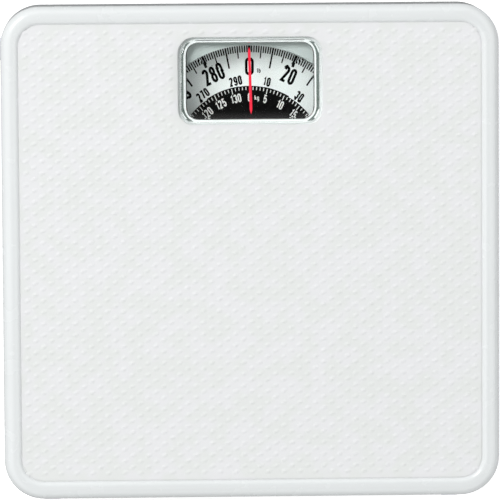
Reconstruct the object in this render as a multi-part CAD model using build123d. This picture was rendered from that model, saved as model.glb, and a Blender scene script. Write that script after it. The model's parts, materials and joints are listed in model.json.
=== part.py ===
from build123d import *
import math
import os

# Mechanical dial platform scale, in millimetres.
# +Z is up, +Y is the dial end, and the person stands facing +Y.
# The origin is on the floor, at the centre of the whole footprint.

# Overall shape
PLATFORM_X = 266.0
PLATFORM_Y = 264.6
PLATFORM_R = 21.0
SHEET = 1.0
SKIRT_Z = 16.5
RIM_Z = 44.0
RIM_ROUND = 5.5
RIM_INNER_ROUND = 3.1
RECESS_X = 247.0
RECESS_Y = 245.0
RECESS_R = 11.5
RECESS_Z = 40.8
MAT_THICK = 1.6
MAT_GAP = 0.1

# Base pan and feet
PAN_X = 254.0
PAN_Y = 253.0
PAN_R = 17.0
PAN_Z = 5.0
PAN_TOP = 19.0
FLOOR_Z = PAN_Z + SHEET
FOOT_OFFSET = 108.0
FOOT_LENGTH = 20.0
TOE_LENGTH = 12.0
FOOT_DEPTH = 14.0
TOE_REACH = 135.2
TOE_TOP = 13.0
TOE_OVERHANG = 1.8
REAR_TOE_REACH = 136.6
ORIGIN_SHIFT_Y = (REAR_TOE_REACH - PLATFORM_Y / 2) / 2

# Lens
LENS_Y = 91.9
LENS_FLANGE = (76.8, 46.5, 8.5)
LENS_BODY = (68.1, 40.1, 6.4)
LENS_BOTTOM_Z = 38.6
LENS_APEX_Z = 48.0
LENS_DOME_R = 67.0

# Dial train
DIAL_Y = 46.4
DIAL_R = 62.5
DIAL_Z = 25.4
DIAL_THICK = 0.6
MASK_R = 62.6
MASK_SHIFT_Y = 1.0
SHAFT_R = 1.5
BUSH_R = 3.5
RUNNING_GAP = 0.05
MODULE = 0.5
PINION_TEETH = 12
PITCH_R = MODULE * PINION_TEETH / 2
RACK_PITCH = math.pi * MODULE
RACK_TRAVEL = 2 * math.pi * PITCH_R
RACK_Z = 8.0

# Levers
HEAD_X = 100.0
FULCRUM_Y = 103.0
FULCRUM_Z = 17.05
LOAD_ARM = 20.0
LEVER_Z = 16.0
LEVER_TOP = 22.0
LEVER_SHEET = 1.5
NOSE_X = 14.0
NOSE_Y = 117.0
MEET_Y = 0.0
KNIFE_GAP = 0.25

# Nose plate, zero wheel and main spring
PLATE_Z = 17.0
PLATE_THICK = 1.5
SCREW_R = 2.95
WHEEL_R = 12.0
WHEEL_Z = 13.2
WHEEL_THICK = 3.6
BRIDGE_Z = 35.0
BRIDGE_SHEET = 1.5
SPRING_R = 6.15
SPRING_WIRE = 0.97

# Bell crank
CRANK_Y = 111.0
CRANK_Z = 30.0
CRANK_SWING = 54.0
EAR_X = -20.75
SHORT_ARM_X = -22.75
FINGER_R = 1.2
RACK_ARM_X = -27.8
CRANK_ARM_X = -31.0
PIN_DROP = 19.0
SHORT_ARM = 6.37
RACK_SPRING_X = -6.0
ANCHOR_Y = -22.0
RACK_HOLE_Y = 33.0
ARM_END_R = 2.0

CORNERS = [("front_left", -1, 1), ("front_right", 1, 1), ("rear_left", -1, -1), ("rear_right", 1, -1)]


def block(x0, x1, y0, y1, z0, z1):
    """A box between two opposite corners."""
    centre = Pos((x0 + x1) / 2, (y0 + y1) / 2, (z0 + z1) / 2)
    return centre * Box(abs(x1 - x0), abs(y1 - y0), abs(z1 - z0))


def post(x, y, z0, z1, radius):
    """A vertical round bar."""
    return Pos(x, y, (z0 + z1) / 2) * Cylinder(radius, z1 - z0)


def bar_x(x0, x1, y, z, radius):
    """A round bar along X."""
    return Pos((x0 + x1) / 2, y, z) * Rot(0, 90, 0) * Cylinder(radius, abs(x1 - x0))


def slab(width, depth, radius, z0, z1, x=0.0, y=0.0):
    """A flat plate with rounded corners."""
    return Pos(x, y, z0) * extrude(RectangleRounded(width, depth, radius), z1 - z0)


def prism_z(points, z0, z1):
    """An outline in plan, extruded upwards."""
    outline = make_face(Polyline(*points, close=True))
    return Pos(0, 0, z0) * extrude(outline, z1 - z0)


def prism_x(points, x0, x1):
    """An outline given as (y, z) points, extruded along X."""
    plane = Plane(origin=(x0, 0, 0), x_dir=(0, 1, 0), z_dir=(1, 0, 0))
    outline = plane * make_face(Polyline(*points, close=True))
    return extrude(outline, amount=x1 - x0, dir=(1, 0, 0))


def blade(y, root_z, tip_z, up):
    """The (y, z) outline of a 2 mm plate that ends in a 60 degree knife edge; up is 1 or -1."""
    shoulder = tip_z - up * 1.73
    return [(y - 1, root_z), (y - 1, shoulder), (y, tip_z), (y + 1, shoulder), (y + 1, root_z)]


def top_edges(solid):
    return solid.edges().group_by(Axis.Z)[-1]


def bottom_edges(solid):
    return solid.edges().group_by(Axis.Z)[0]


def save(node, solid):
    """Write one sub-part, moved so that the footprint's centre is the origin."""
    export_step(Pos(0, ORIGIN_SHIFT_Y, 0) * solid, f"parts/{node}.step")


# ---------------------------------------------------------------- platform

def make_platform_cover():
    outside = slab(PLATFORM_X, PLATFORM_Y, PLATFORM_R, SKIRT_Z, RIM_Z)
    outside = fillet(top_edges(outside), RIM_ROUND)
    inner_x = PLATFORM_X - 2 * SHEET
    inner_y = PLATFORM_Y - 2 * SHEET
    inside = slab(inner_x, inner_y, PLATFORM_R - SHEET, SKIRT_Z, RIM_Z - SHEET)
    inside = fillet(top_edges(inside), RIM_ROUND - SHEET)
    seat_x = RECESS_X + 2 * SHEET
    seat_y = RECESS_Y + 2 * SHEET
    seat = slab(seat_x, seat_y, RECESS_R + SHEET, RECESS_Z - SHEET, RIM_Z - SHEET / 2)
    hem = slab(inner_x, inner_y, PLATFORM_R - SHEET, SKIRT_Z, SKIRT_Z + SHEET)
    hem -= slab(inner_x - 3, inner_y - 3, PLATFORM_R - 2.5, SKIRT_Z, SKIRT_Z + SHEET)
    cover = outside - inside + seat + hem
    cover -= slab(RECESS_X, RECESS_Y, RECESS_R, RECESS_Z, RIM_Z)
    recess_edge = top_edges(cover).filter_by(
        lambda e: abs(e.center().X) < RECESS_X / 2 + 1 and abs(e.center().Y) < RECESS_Y / 2 + 1
    )
    cover = fillet(recess_edge, RIM_INNER_ROUND)
    window_x, window_y, window_r = LENS_BODY
    cover -= slab(window_x + 0.4, window_y + 0.4, window_r + 0.2, RECESS_Z - SHEET, RECESS_Z, 0, LENS_Y)
    for side_x in (-1, 1):
        for side_y in (-1, 1):
            cover += spring_tab(side_x * 118, side_y * 62, RECESS_Z - SHEET, RECESS_Z - 9, 35)
    return cover


def spring_tab(x, y, z_root, z_end, z_hole):
    """A small tab with the hole that a platform spring hooks into."""
    tab = block(x - 0.6, x + 0.6, y - 3, y + 3, z_root, z_end)
    return tab - bar_x(x - 1, x + 1, y, z_hole, 1.6)


def make_platform_mat():
    top = RECESS_Z + MAT_THICK
    mat = slab(RECESS_X - 2 * MAT_GAP, RECESS_Y - 2 * MAT_GAP, RECESS_R - MAT_GAP, RECESS_Z, top)
    mat = fillet(top_edges(mat), 0.5)
    flange_x, flange_y, flange_r = LENS_FLANGE
    return mat - slab(flange_x + 0.5, flange_y + 0.5, flange_r + 0.25, RECESS_Z, top, 0, LENS_Y)


def make_lens():
    flange_x, flange_y, flange_r = LENS_FLANGE
    body_x, body_y, body_r = LENS_BODY
    flange_top = RECESS_Z + 1.9
    step = 1.2
    flange = slab(flange_x, flange_y, flange_r, RECESS_Z, flange_top)
    flange = fillet(top_edges(flange), 0.5)
    body = slab(body_x, body_y, body_r, LENS_BOTTOM_Z, RECESS_Z)
    outline = RectangleRounded(flange_x - 2 * step, flange_y - 2 * step, flange_r - step)
    walls = Pos(0, 0, flange_top) * extrude(outline, 6, taper=30)
    dome = Pos(0, 0, LENS_APEX_Z - LENS_DOME_R) * Rot(0, 90, 0) * Cylinder(LENS_DOME_R, flange_x)
    return Pos(0, LENS_Y, 0) * (flange + body + (walls & dome))


def make_lens_retainer():
    """A thin frame pushed onto the lens body from below, which clamps the cover against the flange."""
    body_x, body_y, body_r = LENS_BODY
    top = RECESS_Z - SHEET
    frame = slab(body_x + 11, body_y + 8, body_r + 3, top - 1.0, top, 0, LENS_Y)
    return frame - slab(body_x, body_y, body_r, top - 1.0, top, 0, LENS_Y)


def make_pointer():
    """The red hairline on the flat underside of the lens, pointed at both ends."""
    half_length = 17.4
    half_width = 0.7
    points = [(0, half_length), (half_width, half_length - 2.5), (half_width, 2.5 - half_length)]
    points += [(0, -half_length), (-half_width, 2.5 - half_length), (-half_width, half_length - 2.5)]
    line = prism_z(points, LENS_BOTTOM_Z - 0.4, LENS_BOTTOM_Z)
    return Pos(0, LENS_Y, 0) * Rot(0, 0, 1.6) * line


def make_platform_post(side_x, side_y):
    """A bracket welded under the cover; its knife edge presses on a lever head."""
    x = side_x * HEAD_X
    y = side_y * (FULCRUM_Y - LOAD_ARM)
    flange_top = RECESS_Z - SHEET
    flange = slab(32, 22, 3, flange_top - 1.5, flange_top, x, y)
    tip = LEVER_TOP - 3.8 + KNIFE_GAP
    root = flange_top - 1
    bracket = flange + prism_x(blade(y, root, tip, -1), x - 13, x + 13)
    gusset = [(y - 9, root), (y, 26), (y + 9, root)]
    for offset in (-10, 10):
        bracket += prism_x(gusset, x + offset - 0.75, x + offset + 0.75)
    return bracket


# ---------------------------------------------------------------- base

def bead(length, x, y, turn=0.0):
    """The two solids of a pressed stiffening bead: what stands up inside, and what is hollow below."""
    height = 1.4
    crown = Pos(x, y, FLOOR_Z) * Rot(0, 0, turn) * extrude(SlotOverall(length, 9), height)
    crown = chamfer(top_edges(crown), 0.9)
    hollow = Pos(x, y, PAN_Z) * Rot(0, 0, turn) * extrude(SlotOverall(length - 2, 7), height)
    hollow = chamfer(top_edges(hollow), 0.9)
    return crown, hollow


def rivet_places():
    """(x, y, top of the sheet that is riveted) for every rivet in the pan."""
    places = []
    for side_x in (-1, 1):
        for side_y in (-1, 1):
            for step in (-6, 6):
                places.append((side_x * HEAD_X, side_y * FULCRUM_Y + step, FLOOR_Z + 1.5))
        for step in (-4, 4):
            places.append((side_x * 43, NOSE_Y + step, FLOOR_Z + BRIDGE_SHEET))
            places.append((side_x * 25, DIAL_Y + 1.5 * step, FLOOR_Z + 1.2))
    return places


def drill_rivets(solid):
    for x, y, top in rivet_places():
        solid -= post(x, y, PAN_Z - 1, top + 1, 1.5)
    return solid


def make_rivets():
    rivets = []
    for x, y, top in rivet_places():
        head = fillet(top_edges(post(x, y, top, top + 1.0, 2.6)), 0.7)
        tail = fillet(bottom_edges(post(x, y, PAN_Z - 1.0, PAN_Z, 2.6)), 0.7)
        rivets.append(post(x, y, PAN_Z, top, 1.5) + head + tail)
    return Compound(rivets)


def make_base_pan():
    outside = slab(PAN_X, PAN_Y, PAN_R, PAN_Z, PAN_TOP)
    outside = fillet(bottom_edges(outside), 2.5)
    inside = slab(PAN_X - 2 * SHEET, PAN_Y - 2 * SHEET, PAN_R - SHEET, FLOOR_Z, PAN_TOP)
    inside = fillet(bottom_edges(inside), 1.5)
    lip = slab(PAN_X + 3, PAN_Y + 3, PAN_R + 1.5, PAN_TOP - SHEET, PAN_TOP)
    pan = outside + lip - inside
    beads = [bead(150, 0, -48), bead(150, 0, -72)]
    for side in (-1, 1):
        beads += [bead(56, side * 66, 22), bead(90, side * 112, 0, 90), bead(26, side * 64, 96)]
    for crown, hollow in beads:
        pan = pan + crown - hollow
    pan -= block(-14.5, 14.5, PAN_Y / 2 - 2, PAN_Y / 2 + 3, FLOOR_Z + 0.8, PAN_TOP + 1)
    pan -= post(0, NOSE_Y, PAN_Z - 1, FLOOR_Z + 1, 5)
    for side_x in (-1, 1):
        for side_y in (-1, 1):
            pan += spring_tab(side_x * 118, side_y * 62, PAN_Z + 0.5, 12.9, 10)
    pan += spring_tab(RACK_SPRING_X, ANCHOR_Y - 1.2, PAN_Z + 0.5, 12, 9)
    return drill_rivets(pan)


def make_foot(along_x, side, across):
    """A clip-on foot: a pad under the pan and a toe that stands up outside its wall."""
    reach = TOE_REACH if along_x else REAR_TOE_REACH
    wall = PAN_X / 2 if along_x else PAN_Y / 2
    inner = wall - FOOT_DEPTH
    pad_reach = reach - TOE_OVERHANG
    pad = slab(pad_reach - inner, FOOT_LENGTH, 5, 0, PAN_Z, (pad_reach + inner) / 2, 0)
    pad = fillet(bottom_edges(pad), 1.0)
    toe = slab(reach - wall, TOE_LENGTH, 2.4, 2.5, TOE_TOP, (reach + wall) / 2, 0)
    toe = fillet(top_edges(toe), 1.6)
    foot = pad + toe
    foot -= block(inner - 1, wall, -FOOT_LENGTH, FOOT_LENGTH, PAN_Z, PAN_TOP)
    if along_x:
        turn = 0 if side > 0 else 180
        return Pos(0, across, 0) * Rot(0, 0, turn) * foot
    return Pos(across, 0, 0) * Rot(0, 0, -90) * foot


def make_fulcrum(side_x, side_y):
    """A corner bracket whose knife edge carries a lever head."""
    x = side_x * HEAD_X
    y = side_y * FULCRUM_Y
    bracket = slab(32, 20, 3, FLOOR_Z, FLOOR_Z + 1.5, x, y)
    low = FLOOR_Z + 1
    bracket += prism_x(blade(y, low, FULCRUM_Z, 1), x - 13, x + 13)
    gusset = [(y - 8, low), (y, 14), (y + 8, low)]
    for offset in (-9, 9):
        bracket += prism_x(gusset, x + offset - 0.75, x + offset + 0.75)
    return drill_rivets(bracket)


def make_spring_bridge():
    """The U-shaped tower that the main spring hangs from and that carries the crank's pin."""
    leg = 36.0
    y0 = NOSE_Y - 7
    y1 = NOSE_Y + 7
    bridge = block(-leg - BRIDGE_SHEET, leg + BRIDGE_SHEET, y0, y1, BRIDGE_Z, BRIDGE_Z + BRIDGE_SHEET)
    for side in (-1, 1):
        bridge += block(side * leg, side * (leg + BRIDGE_SHEET), y0, y1, FLOOR_Z, BRIDGE_Z + 0.5)
        bridge += block(side * leg, side * (leg + 12), y0, y1, FLOOR_Z, FLOOR_Z + BRIDGE_SHEET)
    bridge -= block(-1.5, 1.5, y0 - 1, NOSE_Y + 1.5, BRIDGE_Z - 1, BRIDGE_Z + 3)
    bridge -= bar_x(-leg - 3, -leg + 1, CRANK_Y, CRANK_Z, SHAFT_R)
    return drill_rivets(bridge)


def make_dial_mask():
    """A thin plate on top of the bridge that hides the works beside the dial."""
    low = BRIDGE_Z + BRIDGE_SHEET
    plate = block(-37.5, 37.5, 88, NOSE_Y - 2.4, low, low + 0.5)
    return plate - post(0, DIAL_Y + MASK_SHIFT_Y, low - 1, low + 1, MASK_R)


def make_crank_pin():
    """The crank's pivot, riveted into the bridge's leg."""
    pin = bar_x(-37.5, -20.8, CRANK_Y, CRANK_Z, SHAFT_R)
    head = bar_x(-38.6, -37.5, CRANK_Y, CRANK_Z, 2.8)
    clip = bar_x(-21.8, -21.1, CRANK_Y, CRANK_Z, 2.6)
    return pin + head + clip


def make_dial_bracket():
    half = 20.0
    sheet = 1.2
    top = 20.0
    bracket = block(-half - 10, half + 10, DIAL_Y - 10, DIAL_Y + 10, FLOOR_Z, FLOOR_Z + sheet)
    for side in (-1, 1):
        bracket += block(side * half, side * (half - sheet), DIAL_Y - 8, DIAL_Y + 8, FLOOR_Z, top)
    bracket += block(-half, half, DIAL_Y - 8, DIAL_Y + 8, top - sheet, top)
    bracket -= post(0, DIAL_Y, FLOOR_Z - 1, FLOOR_Z + 2, BUSH_R + 0.02)
    bracket -= post(0, DIAL_Y, top - 2, top + 1, BUSH_R + 0.02)
    return drill_rivets(bracket)


def make_bush(z0, z1):
    return post(0, DIAL_Y, z0, z1, BUSH_R) - post(0, DIAL_Y, z0 - 1, z1 + 1, SHAFT_R + RUNNING_GAP)


def make_rack_guide():
    """A moulded block that holds the rack in mesh: it is beside the strip, under it and over it."""
    y0 = DIAL_Y - 6
    y1 = DIAL_Y + 6
    low = FLOOR_Z + 1.2
    guide = block(-13, -9.8, y0, y1, low, 11.6)
    guide += block(-13, -6.5, y0, y1, low, RACK_Z - 0.2)
    guide += block(-13, -7.5, y0, y1, RACK_Z + 2.2, 11.6)
    return guide


# ---------------------------------------------------------------- levers

def groove(y, z, half_width, depth, x0, x1):
    """A V cut along X; a positive depth cuts upwards."""
    return prism_x([(y - half_width, z), (y, z + depth), (y + half_width, z)], x0, x1)


def beam(start, end, width_start, width_end):
    """An inverted channel between two points in plan."""
    dx = end[0] - start[0]
    dy = end[1] - start[1]
    length = math.hypot(dx, dy)
    nx = -dy / length
    ny = dx / length

    def outline(inset):
        a = width_start / 2 - inset
        b = width_end / 2 - inset
        return [
            (start[0] + nx * a, start[1] + ny * a),
            (end[0] + nx * b, end[1] + ny * b),
            (end[0] - nx * b, end[1] - ny * b),
            (start[0] - nx * a, start[1] - ny * a),
        ]

    hollow = prism_z(outline(LEVER_SHEET), LEVER_Z, LEVER_TOP - LEVER_SHEET)
    return prism_z(outline(0), LEVER_Z, LEVER_TOP) - hollow


def lever_head(toward):
    """The left head plate with its two grooves and side flanges; toward is the nose's direction in Y."""
    x0 = -HEAD_X - 17
    x1 = -HEAD_X + 17
    fulcrum = -toward * FULCRUM_Y
    load = -toward * (FULCRUM_Y - LOAD_ARM)
    low = LEVER_Z + 0.5
    top = LEVER_Z + 3
    tail = fulcrum - toward * 7
    root = fulcrum + toward * 31
    head = block(x0, x1, tail, root, low, top)
    for side in (x0, x1 - 1.5):
        head += block(side, side + 1.5, tail, root, low, LEVER_TOP)
    head -= groove(fulcrum, low, 1.3, 0.8, x0 + 1.5, x1 - 1.5)
    head -= groove(load, top, 1.3, -0.8, x0 + 1.5, x1 - 1.5)
    return head


def make_long_lever():
    """The left long lever, from the rear corner to the nose plate."""
    start = (-HEAD_X, -FULCRUM_Y + 27)
    end = (-NOSE_X, NOSE_Y + 2)
    lever = lever_head(1) + beam(start, end, 14, 6.4)
    lever -= block(-30, 0, NOSE_Y - 11, NOSE_Y + 10, LEVER_Z - 1, PLATE_Z + PLATE_THICK + KNIFE_GAP)
    contact = PLATE_Z + PLATE_THICK + KNIFE_GAP
    root = LEVER_TOP - 1
    tip = [(NOSE_Y - 2, root), (NOSE_Y, contact), (NOSE_Y + 2, root)]
    return lever + prism_x(tip, -NOSE_X - 2, -NOSE_X + 2)


def long_lever_x(y):
    """Where the left long lever's centre line crosses y."""
    start_y = -FULCRUM_Y + 27
    share = (y - start_y) / (NOSE_Y + 2 - start_y)
    return -HEAD_X + share * (HEAD_X - NOSE_X)


def make_short_lever():
    """The left short lever, from the front corner to the middle of the long lever."""
    start = (-HEAD_X, FULCRUM_Y - 27)
    meet = (long_lever_x(MEET_Y), MEET_Y)
    share = (start[1] - 17) / (start[1] - meet[1])
    end = (start[0] + share * (meet[0] - start[0]), 17)
    lever = lever_head(-1) + beam(start, end, 14, 9)
    contact = LEVER_TOP + KNIFE_GAP
    far = MEET_Y - 3
    outline = [(end[0] - 3, 24), (end[0] + 3, 24), (meet[0] + 3, far), (meet[0] - 3, far)]
    tongue = prism_z(outline, contact + 0.3, contact + 2)
    outline = [(end[0] - 5, 24), (end[0] + 3, 24), (end[0] + 4, 18.5), (end[0] - 4, 18.5)]
    step = prism_z(outline, LEVER_TOP - 1, contact + 2)
    ridge = bar_x(meet[0] - 2.8, meet[0] + 2.8, MEET_Y, contact + 1, 1)
    return lever + step + tongue + ridge


# ---------------------------------------------------------------- nose plate, zero wheel, springs

def make_nose_plate():
    top = PLATE_Z + PLATE_THICK
    plate = slab(45, 15, 1.5, PLATE_Z, top, 0, NOSE_Y)
    plate += block(-22.5, 22.5, NOSE_Y + 6, NOSE_Y + 7.5, PLATE_Z + 0.5, top + 2)
    ear_top = CRANK_Z + SHORT_ARM * math.sin(math.radians(CRANK_SWING / 2)) - FINGER_R - 0.3
    plate += block(EAR_X - 0.75, EAR_X + 0.75, NOSE_Y - 2.4, NOSE_Y + 3, PLATE_Z + 0.5, ear_top)
    return plate - post(0, NOSE_Y, PLATE_Z - 1, top + 1, SCREW_R + 0.35)


def make_zero_wheel():
    """A ribbed thumb wheel that is also the nut on the adjusting screw."""
    ribs = 40
    valley = WHEEL_R - 0.6
    points = []
    for i in range(ribs):
        for part_of_rib, radius in ((0.0, WHEEL_R), (0.5, WHEEL_R), (0.62, valley), (0.88, valley)):
            angle = 2 * math.pi * (i + part_of_rib) / ribs
            points.append((radius * math.cos(angle), radius * math.sin(angle)))
    wheel = prism_z(points, WHEEL_Z, WHEEL_Z + WHEEL_THICK)
    wheel -= post(0, 0, WHEEL_Z + WHEEL_THICK - 0.8, WHEEL_Z + WHEEL_THICK, WHEEL_R - 2)
    wheel += post(0, 0, WHEEL_Z, WHEEL_Z + WHEEL_THICK, 5)
    wheel -= post(0, 0, WHEEL_Z - 1, WHEEL_Z + WHEEL_THICK + 1, SCREW_R + RUNNING_GAP)
    return Pos(0, NOSE_Y, 0) * wheel


def make_adjusting_screw():
    """The screw under the main spring, with a yoke that the spring's cross bar sits in."""
    yoke_z = PLATE_Z + PLATE_THICK + 1.2
    yoke_top = yoke_z + 5.5
    screw = post(0, NOSE_Y, 12.2, yoke_z + 0.5, SCREW_R)
    yoke = block(-6.2, 6.2, NOSE_Y - 4, NOSE_Y + 4, yoke_z, yoke_top)
    yoke -= block(-5, 5, NOSE_Y - 5, NOSE_Y + 5, yoke_z + 1.5, yoke_top - 1.3)
    yoke -= block(-1.4, 1.4, NOSE_Y - 5, NOSE_Y + 1.4, yoke_top - 2, yoke_top + 1)
    return screw + yoke


def coil(radius, wire, pitch, height):
    """A helical wire, eight-sided in section, that starts at (radius, 0, 0) and rises along Z."""
    path = Helix(pitch, height, radius)
    start = Plane(origin=path @ 0, z_dir=path % 0)
    return sweep(start * RegularPolygon(wire, 8), path)


def coil_end(radius, wire, z_coil, z_end, angle):
    """The wire's way from a coil's end to the spring's axis and along it."""
    thick = 1.1 * wire
    end = bar_x(0, radius, 0, z_coil, thick)
    end += Pos(radius, 0, z_coil) * Sphere(thick)
    end += Pos(0, 0, z_coil) * Sphere(thick)
    end = Rot(0, 0, angle) * end
    return end + post(0, 0, min(z_coil, z_end), max(z_coil, z_end), 1.05 * wire)


def make_main_spring():
    """The coil with a cross bar at each end: one in the screw's yoke, one on top of the bridge."""
    low = 26.6
    high = 33.8
    turns = 3.25
    spring = Pos(0, 0, low) * coil(SPRING_R, SPRING_WIRE, (high - low) / turns, high - low)
    yoke_bar = PLATE_Z + PLATE_THICK + 1.2 + 2.85
    bridge_bar = BRIDGE_Z + BRIDGE_SHEET + SPRING_WIRE
    for z_coil, z_bar, angle in ((low, yoke_bar, 0), (high, bridge_bar, 360 * turns)):
        end = coil_end(SPRING_R, SPRING_WIRE, z_coil, z_bar, angle)
        spring += end + bar_x(-4.4, 4.4, 0, z_bar, SPRING_WIRE)
    return Pos(0, NOSE_Y, 0) * spring


def hook_spring(length, radius, wire, turns, hook_r, twist=0.0):
    """An extension spring along Z, with the outer sides of its hooks at 0 and at length."""
    start = 2 * hook_r + 1.4
    height = length - 2 * start
    spring = Pos(0, 0, start) * coil(radius, wire, height / turns, height)
    for z_coil, z_hook, angle, turn in (
        (start, hook_r, 0, 0),
        (length - start, length - hook_r, 360 * turns, twist),
    ):
        z_end = z_hook + hook_r if z_coil > z_hook else z_hook - hook_r
        end = coil_end(radius, wire, z_coil, z_end, angle)
        hook = Rot(90, 0, 0) * Torus(hook_r, 1.1 * wire)
        spring += end + Pos(0, 0, z_hook) * Rot(0, 0, turn) * hook
    return spring


def make_platform_spring(side_x, side_y):
    return Pos(side_x * 118, side_y * 62, 10) * hook_spring(25, 2.6, 0.4, 7.5, 1.9)


def make_rack_spring():
    """Pulls the rack to the rear, which keeps the crank's short arm on the nose plate's ear."""
    start_y = ANCHOR_Y - 1.2
    spring = hook_spring(RACK_HOLE_Y - start_y, 2.4, 0.35, 12.5, 2.2, 90)
    return Pos(RACK_SPRING_X, start_y, RACK_Z + 1) * Rot(-90, 0, 0) * spring


# ---------------------------------------------------------------- crank, rack, dial

def arm_x(x, length, angle, half_root, half_end, sheet):
    """A tapered flat arm in a plane of constant X, from the crank's pivot; angle 0 is +Y, 90 is +Z."""
    points = [(0, -half_root), (length, -half_end), (length, half_end), (0, half_root)]
    flat = extrude(make_face(Polyline(*points, close=True)), sheet / 2, both=True)
    flat += Cylinder(half_root, sheet)
    plane = Plane(origin=(x, CRANK_Y, CRANK_Z), x_dir=(0, 1, 0), z_dir=(1, 0, 0))
    return plane * Rot(0, 0, angle) * flat


def make_crank():
    """The bell crank at rest: its short arm up on the ear, its forked long arm down on the rack's pin."""
    half_swing = CRANK_SWING / 2
    sheet = 1.5
    crank = bar_x(CRANK_ARM_X - 0.75, SHORT_ARM_X + 0.75, CRANK_Y, CRANK_Z, 3)
    crank += arm_x(SHORT_ARM_X, SHORT_ARM, half_swing, 3, ARM_END_R, sheet)
    end_y = CRANK_Y + SHORT_ARM * math.cos(math.radians(half_swing))
    end_z = CRANK_Z + SHORT_ARM * math.sin(math.radians(half_swing))
    crank += bar_x(SHORT_ARM_X - sheet / 2, SHORT_ARM_X + sheet / 2, end_y, end_z, ARM_END_R)
    crank += bar_x(SHORT_ARM_X, EAR_X + 1, end_y, end_z, FINGER_R)
    reach = 23.0
    crank += arm_x(CRANK_ARM_X, reach, half_swing - 90, 3.2, 3.2, sheet)
    plane = Plane(origin=(CRANK_ARM_X, CRANK_Y, CRANK_Z), x_dir=(0, 1, 0), z_dir=(1, 0, 0))
    slot = Pos(reach - 1, 0, 0) * Box(9, 3, 4)
    crank -= plane * Rot(0, 0, half_swing - 90) * slot
    return crank - bar_x(-40, -10, CRANK_Y, CRANK_Z, SHAFT_R + RUNNING_GAP)


def rack_pin_y():
    """Half of the rack's travel in front of the crank's pivot, at rest."""
    return CRANK_Y + RACK_TRAVEL / 2


def make_rack():
    """A flat strip with teeth towards the pinion and an arm that reaches forward to the crank."""
    back = -9.6
    root = -PITCH_R - 0.7
    tip = -PITCH_R + 0.35
    z0 = RACK_Z
    z1 = RACK_Z + 2
    strip = block(back, root, RACK_HOLE_Y - 2.4, 96, z0, z1)
    first_tooth = -3
    last_tooth = 15
    for i in range(first_tooth, last_tooth):
        y = DIAL_Y + (i + 0.5) * RACK_PITCH
        tooth = [(root - 0.2, y - 0.64), (tip, y - 0.23), (tip, y + 0.23), (root - 0.2, y + 0.64)]
        strip += prism_z(tooth, z0, z1)
    strip += block(RACK_ARM_X - 1, back + 1, 92, 96, z0, z1)
    strip += block(RACK_ARM_X - 1, RACK_ARM_X + 1, 92, rack_pin_y() + 3, z0, z1)
    strip += block(RACK_ARM_X - 0.75, RACK_ARM_X + 0.75, rack_pin_y() - 2.2, rack_pin_y() + 3, z0, 13)
    strip -= bar_x(RACK_ARM_X - 2, RACK_ARM_X + 2, rack_pin_y(), CRANK_Z - PIN_DROP, 1)
    return strip - post(RACK_SPRING_X, RACK_HOLE_Y, z0 - 1, z1 + 1, 1.5)


def make_rack_pin():
    return bar_x(CRANK_ARM_X - 1.6, RACK_ARM_X + 0.75, rack_pin_y(), CRANK_Z - PIN_DROP, 1)


def make_pinion():
    """Twelve involute teeth, thinned for backlash, with one tooth pointing to -X."""
    base_r = PITCH_R * math.cos(math.radians(20))
    tip_r = PITCH_R + 0.42
    root_r = PITCH_R - 0.55
    half_tooth = 0.11

    def involute(radius):
        angle = math.acos(min(1.0, base_r / radius))
        return math.tan(angle) - angle

    radii = [base_r + (tip_r - base_r) * i / 4 for i in range(5)]
    flank = [(r, half_tooth + involute(PITCH_R) - involute(r)) for r in radii]
    foot = flank[0][1] + 0.01
    points = []
    for i in range(PINION_TEETH):
        middle = math.pi + 2 * math.pi * i / PINION_TEETH
        one_side = [(r, -a) for r, a in flank]
        other_side = [(r, a) for r, a in flank[::-1]]
        polar = [(root_r, -foot)] + one_side + other_side + [(root_r, foot)]
        points += [(r * math.cos(middle + a), r * math.sin(middle + a)) for r, a in polar]
    pinion = prism_z(points, 7.6, 10.4) + post(0, 0, 10.4, 13, 2.4)
    return Pos(0, DIAL_Y, 0) * (pinion - post(0, 0, 7, 14, SHAFT_R))


def make_dial_shaft():
    shaft = post(0, DIAL_Y, FLOOR_Z + 0.2, DIAL_Z + 4, SHAFT_R)
    return chamfer(top_edges(shaft), 0.4)


def make_dial_hub():
    hub = post(0, DIAL_Y, 21.1, DIAL_Z - 1, 6) + post(0, DIAL_Y, DIAL_Z - 1.2, DIAL_Z, 15)
    return hub - post(0, DIAL_Y, 20, DIAL_Z + 1, SHAFT_R)


def make_dial_disc():
    top = DIAL_Z + DIAL_THICK
    return post(0, DIAL_Y, DIAL_Z, top, DIAL_R) - post(0, DIAL_Y, DIAL_Z - 1, top + 1, SHAFT_R)


def make_dial_nut():
    low = DIAL_Z + DIAL_THICK
    nut = Pos(0, DIAL_Y, low) * extrude(RegularPolygon(3.6, 6), 2.4)
    nut = chamfer(top_edges(nut), 0.3)
    return nut - post(0, DIAL_Y, low - 1, low + 4, SHAFT_R)


# ---------------------------------------------------------------- the whole set

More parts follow.
